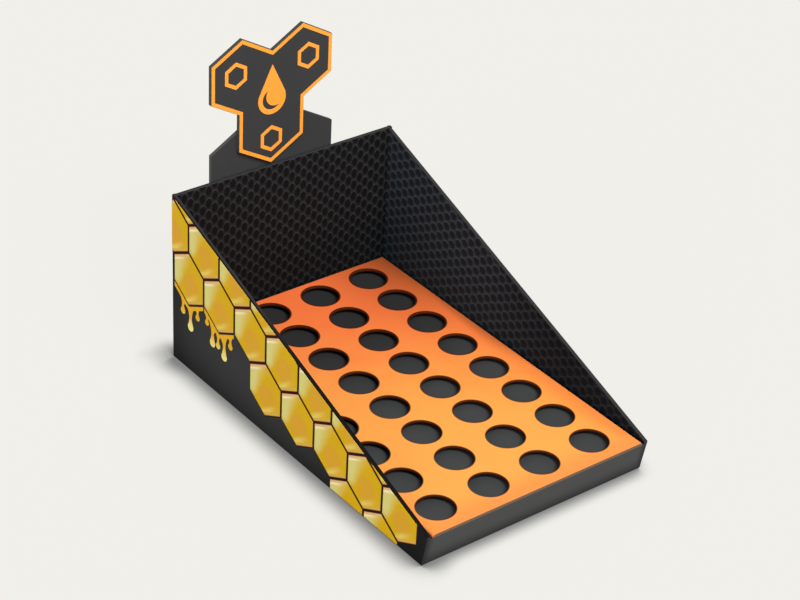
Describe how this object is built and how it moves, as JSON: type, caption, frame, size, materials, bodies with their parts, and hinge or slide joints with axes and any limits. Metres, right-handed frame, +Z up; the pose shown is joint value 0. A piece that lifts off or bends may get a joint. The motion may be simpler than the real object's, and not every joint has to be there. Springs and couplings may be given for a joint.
{
  "type": "counter display box",
  "caption": "Cardboard counter display tray: low leaning front, sloping sides printed with honeycomb, a deck of round holes for small tubes, and a cell-shaped sign on a riser.",
  "frame": {"origin": "middle of the footprint of the whole object, on the surface that it stands on", "axes": "+X to the right when facing the low front, +Y from the front to the back wall, +Z up"},
  "size_m": [0.1304, 0.2052, 0.1645],
  "materials": {
    "black_card": "matt printed folding board, black",
    "orange_card": "satin printed board, orange",
    "grey_card": "matt printed board, dark grey",
    "raw_board": "plain brown board",
    "dark_board": "matt printed board, dark grey",
    "orange_ink": "flat orange print",
    "honey_ink": "gold print with a soft gloss"
  },
  "bodies": {
    "root": {"tray": "black_card", "deck": "orange_card", "shelf": "grey_card", "rib_long": "raw_board", "rib_cross_front": "raw_board", "rib_cross_back": "raw_board", "riser": "dark_board", "sign_plate": "dark_board", "sign_border": "orange_ink", "sign_motif": "orange_ink", "left_honeycomb": "honey_ink", "left_drips": "honey_ink", "right_honeycomb": "honey_ink", "right_drips": "honey_ink"}
  },
  "joints": []
}
